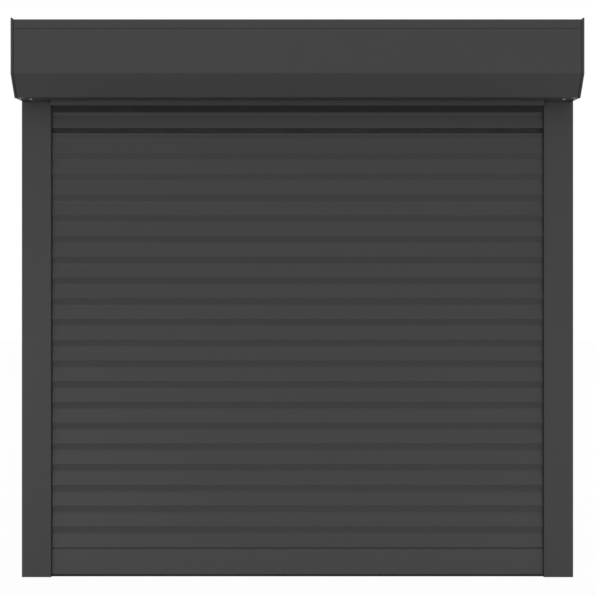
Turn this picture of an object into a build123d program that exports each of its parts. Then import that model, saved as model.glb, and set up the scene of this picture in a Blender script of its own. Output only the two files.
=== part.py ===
from build123d import *
import os
from math import sqrt

# An exterior roller shutter with a 45 degree casing, two guide rails and a curtain of hollow slats.
# Millimetres. X runs along the width, Y from the front to the wall, Z up from the rails' feet.
# The origin lies on the sill, in the middle of the width and of the casing's depth.

# Overall sizes
overall_width = 1000.0
overall_height = 1000.0
casing_depth = 137.0
casing_height = 137.0
slope_rise = 39.0

# Casing panels
panel_thickness = 1.2
bend_radius = 2.2
panel_below_rim_front = 2.0
panel_below_rim_top = 2.5
panel_below_rim_rear = 1.0
panel_below_rim_bottom = 1.0
panel_end_gap = 1.0
cover_lip_height = 15.5
cover_rear_lip_height = 14.0
seam_gap = 2.0
tongue_height = 9.0
tongue_gap = 0.1
cover_hem_height = 10.0
cover_hem_before_rails = 5.4
cover_hem_radius = 5.5
cover_hem_flange = 8.4
rear_return = 4.0

# End plates
rim_width = 4.0
rim_bevel = 2.0
rim_edge_radius = 0.6
flange_depth = 12.0
flange_wall = 2.5
seat_gap = 0.1
spigot_length = 40.0
spigot_gap = 0.3
boss_radius = 6.0
boss_height = 3.5
lug_width = 13.0
lug_height = 9.0

# Guide rails
rail_width = 53.0
rail_depth = 22.0
rail_wall = 1.6
rail_edge_radius = 0.8
channel_width = 33.4
gasket_pocket_width = 7.0
gasket_pocket_depth = 2.0
gasket_pocket_setback = 1.6
pocket_rib = 1.0
gasket_overhang = 1.3
gasket_lip = 2.4
gasket_gap = 0.3
plain_gap = 0.2

# Rail fixing holes
fixing_hole_radius = 2.75
fixing_access_radius = 6.0
fixing_lowest = 100.0
fixing_below_top = 103.0
fixing_count = 3

# Slats
slat_pitch = 37.64
slat_depth = 8.0
slat_behind_rail_front = 5.8
slat_wall = 0.9
slat_lip = 1.2
slat_lip_radius = 0.5
slat_neck = 1.4
slat_neck_setback = 5.4
slat_slot_gap = 0.7
slat_head_width = 3.9
slat_head_height = 1.6
slat_side_wall = 1.0
slat_play = 8.4
slat_play_gap = 0.2
slat_ceiling_gap = 0.6
slat_bow = 3.0
slat_bow_height = 25.0
slat_bow_radius = 20.0
slat_top_setback = 0.3
slat_rear_lean = 0.8
slat_rear_lean_height = 6.0
slat_end_gap = 10.0
hanging_slats = 2

# Bottom bar
bar_height = 49.8
bar_top_gap = 3.4
bar_top_setback = 3.6
bar_wall = 1.5
bar_edge_radius = 0.8
bar_foot_gap = 4.0
bar_floor_thickness = 1.2
bar_cap_plate = 2.0
bar_cap_plug = 25.0
bar_cap_gap = 0.1
seal_foot_width = 7.2
seal_foot_radius = 0.8
seal_neck_width = 1.8
seal_head_width = 3.4
seal_head_height = 2.0
seal_slot_lip = 1.4
seal_slot_gap = 0.1

# Roller tube
tube_axis_below_top = 68.0
tube_sides = 8
tube_flats = 40.0
tube_wall = 0.8
tube_left_setback = 30.0
tube_right_setback = 25.0
insert_gap = 0.15
capsule_length = 60.0
capsule_flange = 3.0
flange_overlap = 1.0
pin_radius = 6.0
pin_end_gap = 0.3
pin_in_capsule = 50.0

# Brackets and bearing
bracket_size = 66.0
bracket_thickness = 3.0
bracket_corner_radius = 6.0
bracket_screw_pitch = 50.0
screw_radius = 2.4
screw_hole_radius = 2.6
screw_head_radius = 4.2
screw_head_height = 2.4
screw_pilot_radius = 2.5
screw_reach = 6.0
bearing_outer_radius = 14.0
bearing_pitch_radius = 10.0
bearing_ball_radius = 2.0
bearing_ball_count = 9
bearing_width = 8.0
bearing_groove_gap = 0.08
bearing_ring_gap = 1.5
bearing_cup_wall = 3.0
bearing_cup_gap = 0.05

# Tubular motor
motor_radius = 17.5
motor_wall = 1.2
motor_length = 417.0
motor_head_radius = 22.0
motor_head_length = 12.0
motor_head_chamfer = 1.5
motor_head_gap = 0.3
stub_square = 16.0
stub_gap = 0.2
stub_beyond_bracket = 3.0
stub_groove_start = 0.5
stub_groove_width = 1.5
stub_groove_depth = 2.0
clip_thickness = 1.2
clip_width = 26.0
clip_height = 22.0
clip_slot_gap = 0.2
crown_width = 13.0
crown_flange = 1.8
crown_running_gap = 0.07
gearbox_length = 90.0
engine_length = 150.0
engine_gap = 12.0
motor_inner_gap = 0.15
shaft_square = 10.0
shaft_gap = 0.1
shaft_journal_radius = 5.0
shaft_journal_gap = 0.05
shaft_beyond_wheel = 2.0
wheel_thickness = 20.0
wheel_rim = 4.0
wheel_hub_radius = 9.5
wheel_spoke = 4.0
wheel_spoke_count = 4
wheel_distance = 4.0

# Curtain hangers
hanger_positions = (-300.0, 0.0, 300.0)
hanger_width = 24.0
hanger_thickness = 0.8
hanger_clip_wall = 2.4
hanger_clip_gap = 0.1
hanger_front_reach = 8.0
hanger_rear_reach = 20.0
hanger_drop = 30.0
hanger_bend_radius = 10.0
hanger_end_gap = 0.3

# Inlet funnels
funnel_height = 25.0
funnel_plug_length = 23.0
funnel_plug_setback = 3.0
funnel_arm_length = 23.0
funnel_throat_gap = 2.0
funnel_flare = 2.5

# Outlet seal
seal_grip_depth = 2.0
seal_grip_wall = 1.2
seal_lip_thickness = 2.6
seal_drop = 20.6
seal_end_gap = 3.5
seal_to_slat_gap = 0.4

# Fasteners of the casing
cover_screw_radius = 1.7
cover_screw_clearance = 0.4
cover_screw_pilot = 1.75
cover_screw_head_radius = 3.25
cover_screw_head_height = 2.2
cover_screw_length = 8.0
outer_screw_from_end = 8.5
outer_screw_behind_slope = 11.0
inner_screw_from_end = 24.3
inner_screw_behind_slope = 30.0
rivet_radius = 1.6
rivet_hole_radius = 1.7
rivet_head_radius = 3.2
rivet_head_height = 1.0
rivet_from_end = 10.0
rivet_spread = 70.0
rivet_grip = 3.4

# Cable gland
gland_bore_radius = 4.0
gland_neck_radius = 6.5
gland_hole_gap = 0.1
gland_flange_radius = 9.0
gland_flange_height = 1.5
gland_length = 7.0
gland_from_end = 40.0
gland_below_top = 30.0

# Worked out: the casing
half_width = overall_width / 2
half_depth = casing_depth / 2
casing_bottom = overall_height - casing_height
rim_inner = half_width - rim_width
panel_half = rim_inner - panel_end_gap
panel_front = -half_depth + panel_below_rim_front
panel_rear = half_depth - panel_below_rim_rear
panel_top = overall_height - panel_below_rim_top
panel_bottom = casing_bottom + panel_below_rim_bottom
panel_slope = panel_front + panel_bottom + slope_rise
slope_end = panel_slope - panel_bottom
rail_top = casing_bottom
rail_front = half_depth - rail_depth
rail_inner = half_width - rail_width
rail_middle = half_width - rail_width / 2

# Worked out: the curtain's plane and the tube's axis
slat_front = rail_front + slat_behind_rail_front
slat_rear = slat_front + slat_depth
channel_end = rail_inner + channel_width + rail_wall
slat_half = channel_end - slat_end_gap
axis_height = overall_height - tube_axis_below_top
slat_neck_height = slat_play + slat_lip + slat_play_gap
slat_hook_height = slat_neck_height + slat_head_height
slat_socket_height = slat_hook_height + slat_ceiling_gap
lowest_slat = bar_height + bar_top_gap


def casing_points(front, top, rear, bottom, slope):
    """The casing's outline from the side. Along its slope, depth plus height is the same."""
    return [
        (front, top),
        (rear, top),
        (rear, bottom),
        (slope - bottom, bottom),
        (front, slope - front),
    ]


def keep(piece, name):
    """Label a finished piece and write it."""
    piece.part.label = name
    export_step(piece.part, f"parts/{name}.step")


def mirrored(piece):
    """The same piece for the other end of the shutter."""
    with BuildPart() as other:
        mirror(piece.part, about=Plane.YZ)
    return other


def both_ends(places):
    """The places at the right end, and their mirror images at the left."""
    return [*places, *[(-x, other) for x, other in places]]


def octagon(flats, mode=Mode.ADD):
    """An octagon around the tube's axis, in a sketch across the shutter."""
    turn = 180 / tube_sides
    with Locations((0, axis_height)):
        RegularPolygon(flats / 2, tube_sides, major_radius=False, rotation=turn, mode=mode)


os.makedirs("parts", exist_ok=True)

# End plates: a rim that frames the panels, a flange that carries them, a spigot for the rail
flange_front = panel_front + 2 * panel_thickness + tongue_gap + seat_gap
flange_top = panel_top - panel_thickness - seat_gap
flange_rear = panel_rear - 2 * panel_thickness - seat_gap
flange_bottom = panel_bottom + panel_thickness + seat_gap
flange_slope = panel_slope + (panel_thickness + seat_gap) * sqrt(2)
flange_inner = rim_inner - flange_depth
rim_slope = panel_slope - panel_below_rim_front * sqrt(2)
chamber_inner = channel_end + rail_wall
chamber_outer = half_width - rail_wall
spigot_inner = chamber_inner + spigot_gap
spigot_front = rail_front + rail_wall + spigot_gap
spigot_rear = flange_rear
outer_screw_x = half_width - outer_screw_from_end
inner_screw_x = half_width - inner_screw_from_end
screw_places = (
    (outer_screw_x, slope_end + outer_screw_behind_slope),
    (inner_screw_x, slope_end + inner_screw_behind_slope),
)
bracket_face = rim_inner - boss_height
rivet_x = half_width - rivet_from_end
rivet_places = (-rivet_spread / 2, rivet_spread / 2)
top_rivets = [(rivet_x, y) for y in rivet_places]
rear_rivets = [(rivet_x, axis_height + z) for z in rivet_places]

with BuildPart() as right_end_plate:
    with BuildSketch(Plane.YZ.offset(rim_inner)):
        with BuildLine():
            outline = casing_points(-half_depth, overall_height, half_depth, casing_bottom, rim_slope)
            Polyline(outline, close=True)
        make_face()
    extrude(amount=rim_width)
    inboard = right_end_plate.faces().sort_by(Axis.X)[0].edges()
    chamfer(inboard.sort_by(Axis.Y)[:-1].sort_by(Axis.Z)[1:], length=rim_bevel)
    fillet(right_end_plate.faces().sort_by(Axis.X)[-1].edges(), radius=rim_edge_radius)
    with BuildSketch(Plane.YZ.offset(rim_inner)):
        outer = casing_points(flange_front, flange_top, flange_rear, flange_bottom, flange_slope)
        inner = casing_points(
            flange_front + flange_wall,
            flange_top - flange_wall,
            flange_rear - flange_wall,
            flange_bottom + flange_wall,
            flange_slope + flange_wall * sqrt(2),
        )
        with BuildLine():
            Polyline(outer, close=True)
        make_face()
        with BuildLine():
            Polyline(inner, close=True)
        make_face(mode=Mode.SUBTRACT)
    extrude(amount=-flange_depth)
    with BuildSketch(Plane.XY.offset(flange_bottom)):
        for x, y in screw_places:
            with Locations((rim_inner, y)):
                Rectangle(rim_inner - x + lug_width / 2, lug_width, align=(Align.MAX, Align.CENTER))
    extrude(amount=lug_height)
    with BuildSketch(Plane.YZ.offset(rim_inner)):
        with Locations((0, axis_height)):
            with GridLocations(bracket_screw_pitch, bracket_screw_pitch, 2, 2):
                Circle(boss_radius)
    extrude(amount=-boss_height)
    with BuildSketch(Plane.XY.offset(casing_bottom - spigot_length)):
        with Locations((spigot_inner, spigot_front)):
            spigot_width = chamber_outer - spigot_gap - spigot_inner
            Rectangle(spigot_width, spigot_rear - spigot_front, align=Align.MIN)
    extrude(amount=spigot_length + flange_bottom + flange_wall - casing_bottom)
    with BuildSketch(Plane.XY.offset(flange_bottom)):
        with Locations(*screw_places):
            Circle(cover_screw_pilot)
    extrude(amount=lug_height, mode=Mode.SUBTRACT)
    with BuildSketch(Plane.YZ.offset(bracket_face)):
        with Locations((0, axis_height)):
            with GridLocations(bracket_screw_pitch, bracket_screw_pitch, 2, 2):
                Circle(screw_pilot_radius)
    extrude(amount=screw_reach, mode=Mode.SUBTRACT)
    with BuildSketch(Plane.XY.offset(flange_top)):
        with Locations(*top_rivets):
            Circle(rivet_hole_radius)
    extrude(amount=-flange_wall, mode=Mode.SUBTRACT)
    with BuildSketch(Plane.XZ.offset(-flange_rear)):
        with Locations(*rear_rivets):
            Circle(rivet_hole_radius)
    extrude(amount=flange_wall, mode=Mode.SUBTRACT)
keep(right_end_plate, "right_end_plate")
left_end_plate = mirrored(right_end_plate)
keep(left_end_plate, "left_end_plate")


def bent_section(points):
    """The section of a sheet that follows its outer face from point to point, metal on its right."""
    with BuildSketch(Plane.YZ.offset(-panel_half)) as section:
        with BuildLine():
            FilletPolyline(points, radius=bend_radius)
            offset(amount=panel_thickness, side=Side.RIGHT)
        make_face()
    return section.sketch


# Top cover: from its front lip over the top to its rear lip
cover_lip_end = panel_top - cover_lip_height
top_points = [
    (panel_front, cover_lip_end),
    (panel_front, panel_top),
    (panel_rear, panel_top),
    (panel_rear, panel_top - cover_rear_lip_height),
]
with BuildPart() as top_cover:
    extrude(bent_section(top_points), amount=2 * panel_half)
    with BuildSketch(Plane.XY.offset(panel_top)):
        with Locations(*both_ends(top_rivets)):
            Circle(rivet_hole_radius)
    extrude(amount=-panel_thickness, mode=Mode.SUBTRACT)
    with BuildSketch(Plane.XZ.offset(-panel_rear)):
        with Locations(*both_ends(rear_rivets)):
            Circle(rivet_hole_radius)
    extrude(amount=panel_thickness, mode=Mode.SUBTRACT)
keep(top_cover, "top_cover")

# Rear panel: against the wall, with a short return at the outlet that is notched for the rails
rear_panel_face = panel_rear - panel_thickness
rear_points = [
    (rear_panel_face, panel_top - bend_radius),
    (rear_panel_face, panel_bottom),
    (rear_panel_face - rear_return, panel_bottom),
]
gland_x = half_width - gland_from_end
gland_z = overall_height - gland_below_top
notch_depth = rear_return + panel_thickness
with BuildPart() as rear_panel:
    extrude(bent_section(rear_points), amount=2 * panel_half)
    with BuildSketch(Plane.XY.offset(panel_bottom)):
        with Locations(*both_ends([(rail_middle, rear_panel_face)])):
            Rectangle(rail_width, 2 * notch_depth)
    extrude(amount=bend_radius, mode=Mode.SUBTRACT)
    with BuildSketch(Plane.XZ.offset(-rear_panel_face)):
        with Locations(*both_ends(rear_rivets)):
            Circle(rivet_hole_radius)
        with Locations((gland_x, gland_z)):
            Circle(gland_neck_radius + gland_hole_gap)
    extrude(amount=panel_thickness, mode=Mode.SUBTRACT)
keep(rear_panel, "rear_panel")

# Front cover: tongue under the top cover's lip, front, slope, underside and a rolled hem for the seal
front_cover_top = cover_lip_end - seam_gap
tongue_face = panel_front + panel_thickness + tongue_gap
tongue_top = front_cover_top + seam_gap + tongue_height
hem_face = rail_front - cover_hem_before_rails
hem_bottom = panel_bottom - cover_hem_height
hem_end = hem_face + cover_hem_flange
front_points = [
    (hem_end, hem_bottom),
    (hem_face, hem_bottom),
    (hem_face, panel_bottom),
    (slope_end, panel_bottom),
    (panel_front, panel_slope - panel_front),
    (panel_front, front_cover_top),
]
with BuildPart() as front_cover:
    with BuildSketch(Plane.YZ.offset(-panel_half)):
        with BuildLine():
            bends = (cover_hem_radius, bend_radius, bend_radius, bend_radius)
            FilletPolyline(front_points, radius=bends)
            offset(amount=panel_thickness, side=Side.RIGHT)
        make_face()
        with Locations((panel_front, front_cover_top)):
            step = tongue_face + panel_thickness - panel_front
            Rectangle(step, panel_thickness, align=(Align.MIN, Align.MAX))
        with Locations((tongue_face, front_cover_top - panel_thickness)):
            tongue = tongue_top - front_cover_top + panel_thickness
            Rectangle(panel_thickness, tongue, align=Align.MIN)
    extrude(amount=2 * panel_half)
    with BuildSketch(Plane.XY.offset(hem_bottom)):
        with Locations(*both_ends([(rail_middle, hem_face)])):
            Rectangle(rail_width, 2 * (cover_hem_flange + plain_gap))
    extrude(amount=cover_hem_height, mode=Mode.SUBTRACT)
    with BuildSketch(Plane.XY.offset(panel_bottom)):
        with Locations(*both_ends(screw_places)):
            Circle(cover_screw_radius + cover_screw_clearance)
    extrude(amount=panel_thickness, mode=Mode.SUBTRACT)
keep(front_cover, "front_cover")

# Cover screws: pan heads against the underside
with BuildPart() as cover_screws:
    with BuildSketch(Plane.XY.offset(panel_bottom)):
        with Locations(*both_ends(screw_places)):
            Circle(cover_screw_head_radius)
    extrude(amount=-cover_screw_head_height)
    fillet(cover_screws.faces().group_by(Axis.Z)[0].edges(), radius=cover_screw_head_height / 2)
    with BuildSketch(Plane.XY.offset(panel_bottom)):
        with Locations(*both_ends(screw_places)):
            Circle(cover_screw_radius)
    extrude(amount=cover_screw_length)
keep(cover_screws, "cover_screws")

# Panel rivets: two through the top and two through the rear at each end
with BuildPart() as panel_rivets:
    with BuildSketch(Plane.XY.offset(panel_top)):
        with Locations(*both_ends(top_rivets)):
            Circle(rivet_head_radius)
    extrude(amount=rivet_head_height)
    with BuildSketch(Plane.XY.offset(panel_top)):
        with Locations(*both_ends(top_rivets)):
            Circle(rivet_radius)
    extrude(amount=-rivet_grip)
    with BuildSketch(Plane.XZ.offset(-panel_rear)):
        with Locations(*both_ends(rear_rivets)):
            Circle(rivet_head_radius)
    extrude(amount=-rivet_head_height)
    with BuildSketch(Plane.XZ.offset(-panel_rear)):
        with Locations(*both_ends(rear_rivets)):
            Circle(rivet_radius)
    extrude(amount=rivet_grip + panel_thickness)
keep(panel_rivets, "panel_rivets")

# Outlet seal: it grips the rolled hem's edge, and its lip hangs down close to the curtain
seal_half = rail_inner - seal_end_gap
seal_lip_back = slat_front - seal_to_slat_gap
seal_lip_front = seal_lip_back - seal_lip_thickness
seal_jaw_start = hem_end - seal_grip_depth
seal_top = hem_bottom + panel_thickness + seal_grip_wall
seal_bottom = panel_bottom - seal_drop
with BuildPart() as outlet_seal:
    with BuildSketch(Plane.YZ.offset(-seal_half)):
        with BuildLine():
            Polyline(
                (seal_jaw_start, seal_top),
                (seal_lip_back, seal_top),
                (seal_lip_back, seal_bottom),
                (seal_lip_front, seal_bottom),
                (seal_lip_front, hem_bottom - seal_grip_wall),
                (seal_jaw_start, hem_bottom - seal_grip_wall),
                (seal_jaw_start, hem_bottom),
                (hem_end, hem_bottom),
                (hem_end, hem_bottom + panel_thickness),
                (seal_jaw_start, hem_bottom + panel_thickness),
                close=True,
            )
        make_face()
    extrude(amount=2 * seal_half)
keep(outlet_seal, "outlet_seal")

# Guide rails: channel for the curtain, pockets for the seals, closed chamber at the outside
rail_back = half_depth
channel_front = rail_front + rail_wall
channel_rear = rail_back - rail_wall
pocket_start = rail_inner + gasket_pocket_setback
pocket_end = pocket_start + gasket_pocket_width
fixing_spacing = (rail_top - fixing_below_top - fixing_lowest) / (fixing_count - 1)
fixing_heights = [fixing_lowest + i * fixing_spacing for i in range(fixing_count)]
fixing_holes = [((rail_front + rail_back) / 2, z) for z in fixing_heights]
with BuildPart() as right_guide_rail:
    with BuildSketch() as rail_section:
        with Locations((rail_inner, rail_front)):
            Rectangle(rail_width, rail_depth, align=Align.MIN)
        fillet(rail_section.vertices(), radius=rail_edge_radius)
        with Locations((rail_inner, channel_front)):
            channel = channel_end - rail_inner
            Rectangle(channel, channel_rear - channel_front, align=Align.MIN, mode=Mode.SUBTRACT)
        with Locations((chamber_inner, channel_front)):
            chamber = chamber_outer - chamber_inner
            Rectangle(chamber, channel_rear - channel_front, align=Align.MIN, mode=Mode.SUBTRACT)
        for x in (pocket_start - pocket_rib, pocket_end):
            with Locations((x, channel_front)):
                Rectangle(pocket_rib, gasket_pocket_depth, align=Align.MIN)
            with Locations((x, channel_rear)):
                Rectangle(pocket_rib, gasket_pocket_depth, align=(Align.MIN, Align.MAX))
    extrude(amount=rail_top)
    with BuildSketch(Plane.YZ.offset(chamber_outer)):
        with Locations(*fixing_holes):
            Circle(fixing_hole_radius)
    extrude(amount=rail_wall, mode=Mode.SUBTRACT)
    with BuildSketch(Plane.YZ.offset(channel_end)):
        with Locations(*fixing_holes):
            Circle(fixing_access_radius)
    extrude(amount=rail_wall, mode=Mode.SUBTRACT)
keep(right_guide_rail, "right_guide_rail")
left_guide_rail = mirrored(right_guide_rail)
keep(left_guide_rail, "left_guide_rail")

# Rail seals: a rubber strip in each pocket, whose lip stops short of the slats
lip_start = rail_inner - gasket_overhang
lip_front_reach = slat_front - gasket_gap
lip_rear_reach = slat_rear + gasket_gap
pocket_floor = channel_front + gasket_pocket_depth
pocket_rear_floor = channel_rear - gasket_pocket_depth
with BuildPart() as right_rail_seals:
    with BuildSketch():
        with BuildLine():
            Polyline(
                (pocket_start, channel_front),
                (pocket_end, channel_front),
                (pocket_end, lip_front_reach),
                (lip_start, lip_front_reach),
                (lip_start, lip_front_reach - gasket_lip / 2),
                (rail_inner, pocket_floor + plain_gap),
                (pocket_start, pocket_floor + plain_gap),
                close=True,
            )
        make_face()
        with BuildLine():
            Polyline(
                (pocket_start, channel_rear),
                (pocket_end, channel_rear),
                (pocket_end, pocket_rear_floor - plain_gap),
                (pocket_start + gasket_lip, lip_rear_reach),
                (pocket_start, lip_rear_reach),
                close=True,
            )
        make_face()
    extrude(amount=rail_top)
keep(right_rail_seals, "right_rail_seals")
left_rail_seals = mirrored(right_rail_seals)
keep(left_rail_seals, "left_rail_seals")

# Inlet funnels: plugged into the top of each channel, with flared arms either side of the slats.
# Their fronts close the gap between the front cover and the rails
funnel_end = flange_inner - plain_gap
funnel_start = slat_half + funnel_plug_setback
arm_start = funnel_start - funnel_arm_length
funnel_front = hem_face + panel_thickness + plain_gap
funnel_rear = rear_panel_face - panel_thickness - seat_gap
with BuildPart() as right_inlet_funnel:
    with BuildSketch(Plane.XY.offset(rail_top)):
        with Locations((arm_start, funnel_front)):
            Rectangle(funnel_end - arm_start, funnel_rear - funnel_front, align=Align.MIN)
        with Locations((arm_start, slat_front - funnel_throat_gap)):
            throat = slat_depth + 2 * funnel_throat_gap
            Rectangle(funnel_arm_length, throat, align=Align.MIN, mode=Mode.SUBTRACT)
    extrude(amount=funnel_height)
    top_edges = right_inlet_funnel.faces().sort_by(Axis.Z)[-1].edges().filter_by(Axis.X)
    throat_edges = [edge for group in top_edges.group_by(Axis.Y)[1:-1] for edge in group]
    chamfer(throat_edges, length=funnel_flare)
    with BuildSketch(Plane.XY.offset(rail_top)):
        with Locations((funnel_start, channel_front + plain_gap)):
            plug_width = channel_end - plain_gap - funnel_start
            plug_depth = channel_rear - channel_front - 2 * plain_gap
            Rectangle(plug_width, plug_depth, align=Align.MIN)
    extrude(amount=-funnel_plug_length)
keep(right_inlet_funnel, "right_inlet_funnel")
left_inlet_funnel = mirrored(right_inlet_funnel)
keep(left_inlet_funnel, "left_inlet_funnel")

# Cable gland: a rubber grommet in the rear panel, beside the motor's head
with BuildPart() as cable_gland:
    with BuildSketch(Plane.XZ.offset(-rear_panel_face - gland_flange_height)):
        with Locations((gland_x, gland_z)):
            Circle(gland_flange_radius)
    extrude(amount=gland_flange_height)
    with BuildSketch(Plane.XZ.offset(-rear_panel_face)):
        with Locations((gland_x, gland_z)):
            Circle(gland_neck_radius)
    extrude(amount=panel_thickness)
    with BuildSketch(Plane.XZ.offset(panel_thickness - rear_panel_face)):
        with Locations((gland_x, gland_z)):
            Circle(gland_flange_radius)
    extrude(amount=gland_length - gland_flange_height - panel_thickness)
    with BuildSketch(Plane.XZ.offset(-rear_panel_face - gland_flange_height)):
        with Locations((gland_x, gland_z)):
            Circle(gland_bore_radius)
    extrude(amount=gland_length, mode=Mode.SUBTRACT)
keep(cable_gland, "cable_gland")

# Brackets: square plates on the end plates' bosses
bracket_inner = bracket_face - bracket_thickness


def bracket_section(distance):
    """The plate that both brackets start from, drawn at that distance along the width."""
    with BuildSketch(Plane.YZ.offset(distance)) as section:
        with Locations((0, axis_height)):
            RectangleRounded(bracket_size, bracket_size, bracket_corner_radius)
            with GridLocations(bracket_screw_pitch, bracket_screw_pitch, 2, 2):
                Circle(screw_hole_radius, mode=Mode.SUBTRACT)
    return section.sketch


with BuildPart() as bearing_bracket:
    extrude(bracket_section(-bracket_face), amount=bracket_thickness)
    cup_radius = bearing_outer_radius + bearing_cup_gap
    with BuildSketch(Plane.YZ.offset(-bracket_inner)):
        with Locations((0, axis_height)):
            Circle(cup_radius + bearing_cup_wall)
            Circle(cup_radius, mode=Mode.SUBTRACT)
    extrude(amount=bearing_width)
keep(bearing_bracket, "bearing_bracket")

with BuildPart() as motor_bracket:
    extrude(bracket_section(bracket_inner), amount=bracket_thickness)
    with BuildSketch(Plane.YZ.offset(bracket_inner)):
        with Locations((0, axis_height)):
            Rectangle(stub_square + 2 * stub_gap, stub_square + 2 * stub_gap)
    extrude(amount=bracket_thickness, mode=Mode.SUBTRACT)
keep(motor_bracket, "motor_bracket")

# Bracket screws: four through each bracket into its bosses
with BuildPart() as bracket_screws:
    for side in (-1, 1):
        with BuildSketch(Plane.YZ.offset(side * bracket_inner)):
            with Locations((0, axis_height)):
                with GridLocations(bracket_screw_pitch, bracket_screw_pitch, 2, 2):
                    Circle(screw_head_radius)
        extrude(amount=-side * screw_head_height)
        with BuildSketch(Plane.YZ.offset(side * bracket_inner)):
            with Locations((0, axis_height)):
                with GridLocations(bracket_screw_pitch, bracket_screw_pitch, 2, 2):
                    Circle(screw_radius)
        extrude(amount=side * (bracket_thickness + screw_reach - insert_gap))
keep(bracket_screws, "bracket_screws")


def ring(inner, outer, groove):
    """A bearing ring at the left end, with the balls' groove, whose radius is groove."""
    with BuildPart() as turned:
        with BuildSketch(Plane.YZ.offset(-bracket_inner)):
            with Locations((0, axis_height)):
                Circle(outer)
                Circle(inner, mode=Mode.SUBTRACT)
        extrude(amount=bearing_width)
        with BuildSketch(Plane.XZ):
            with Locations((bearing_middle, axis_height + bearing_pitch_radius)):
                Circle(groove)
        revolve(axis=tube_axis, mode=Mode.SUBTRACT)
    return turned


# Bearing: the outer ring stands in the bracket's cup, the inner ring and the balls turn with the pin
tube_axis = Axis((0, 0, axis_height), (1, 0, 0))
bearing_middle = -bracket_inner + bearing_width / 2
groove_radius = bearing_ball_radius + bearing_groove_gap
bearing_outer_ring = ring(bearing_pitch_radius + bearing_ring_gap, bearing_outer_radius, groove_radius)
keep(bearing_outer_ring, "bearing_outer_ring")
bearing_inner_ring = ring(pin_radius, bearing_pitch_radius - bearing_ring_gap, groove_radius)
keep(bearing_inner_ring, "bearing_inner_ring")
with BuildPart() as bearing_balls:
    with Locations(Plane.YZ.offset(bearing_middle)):
        with Locations((0, axis_height)):
            with PolarLocations(bearing_pitch_radius, bearing_ball_count):
                Sphere(bearing_ball_radius)
keep(bearing_balls, "bearing_balls")

# Roller tube: octagonal, rolled from steel strip
tube_left = -half_width + tube_left_setback
tube_right = half_width - tube_right_setback
tube_inner_flats = tube_flats - 2 * tube_wall
insert_flats = tube_inner_flats - 2 * insert_gap
with BuildPart() as roller_tube:
    with BuildSketch(Plane.YZ.offset(tube_left)):
        octagon(tube_flats)
        octagon(tube_inner_flats, mode=Mode.SUBTRACT)
    extrude(amount=tube_right - tube_left)
keep(roller_tube, "roller_tube")

# End capsule: an octagonal plug in the tube's left end, bored for the pin
with BuildPart() as tube_end_capsule:
    with BuildSketch(Plane.YZ.offset(tube_left)):
        octagon(insert_flats)
    extrude(amount=capsule_length)
    with BuildSketch(Plane.YZ.offset(tube_left)):
        octagon(tube_flats + 2 * flange_overlap)
    extrude(amount=-capsule_flange)
    with BuildSketch(Plane.YZ.offset(tube_left - capsule_flange)):
        with Locations((0, axis_height)):
            Circle(pin_radius)
    extrude(amount=capsule_flange + pin_in_capsule, mode=Mode.SUBTRACT)
keep(tube_end_capsule, "tube_end_capsule")

# Bearing pin: steel, from the bearing into the capsule
with BuildPart() as bearing_pin:
    pin_start = pin_end_gap - bracket_inner
    with BuildSketch(Plane.YZ.offset(pin_start)):
        with Locations((0, axis_height)):
            Circle(pin_radius)
    extrude(amount=tube_left + pin_in_capsule - pin_start)
keep(bearing_pin, "bearing_pin")

# Motor head: outside the tube, with a square stub through the bracket and a groove for the clip
head_outer = bracket_inner - motor_head_gap
head_inner = head_outer - motor_head_length
stub_end = bracket_face + stub_beyond_bracket
groove_start = bracket_face + stub_groove_start
with BuildPart() as motor_head:
    with BuildSketch(Plane.YZ.offset(head_inner)):
        with Locations((0, axis_height)):
            Circle(motor_head_radius)
    extrude(amount=motor_head_length)
    chamfer(motor_head.edges().filter_by(GeomType.CIRCLE), length=motor_head_chamfer)
    with BuildSketch(Plane.YZ.offset(head_outer)):
        with Locations((0, axis_height)):
            Rectangle(stub_square, stub_square)
    extrude(amount=stub_end - head_outer)
    with BuildSketch(Plane.YZ.offset(groove_start)):
        with Locations((0, axis_height)):
            Rectangle(stub_square, stub_square)
            Rectangle(stub_square - 2 * stub_groove_depth, stub_square, mode=Mode.SUBTRACT)
    extrude(amount=stub_groove_width, mode=Mode.SUBTRACT)
keep(motor_head, "motor_head")

# Locking clip: a steel fork in the stub's grooves, outside the bracket
clip_start = groove_start + (stub_groove_width - clip_thickness) / 2
clip_slot = stub_square - 2 * stub_groove_depth + 2 * clip_slot_gap
with BuildPart() as motor_locking_clip:
    with BuildSketch(Plane.YZ.offset(clip_start)):
        with Locations((0, axis_height + (clip_height - stub_square) / 2)):
            Rectangle(clip_width, clip_height)
        with Locations((0, axis_height + stub_square / 2 + clip_slot_gap)):
            slot_length = clip_height + stub_square
            Rectangle(clip_slot, slot_length, align=(Align.CENTER, Align.MAX), mode=Mode.SUBTRACT)
    extrude(amount=clip_thickness)
keep(motor_locking_clip, "motor_locking_clip")

# Motor housing: a steel tube closed at its inner end around the shaft's journal
housing_end = head_inner - motor_length
with BuildPart() as motor_housing:
    with BuildSketch(Plane.YZ.offset(housing_end)):
        with Locations((0, axis_height)):
            Circle(motor_radius)
    extrude(amount=motor_length)
    with BuildSketch(Plane.YZ.offset(housing_end + motor_wall)):
        with Locations((0, axis_height)):
            Circle(motor_radius - motor_wall)
    extrude(amount=motor_length - motor_wall, mode=Mode.SUBTRACT)
    with BuildSketch(Plane.YZ.offset(housing_end)):
        with Locations((0, axis_height)):
            Circle(shaft_journal_radius + shaft_journal_gap)
    extrude(amount=motor_wall, mode=Mode.SUBTRACT)
keep(motor_housing, "motor_housing")


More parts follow.
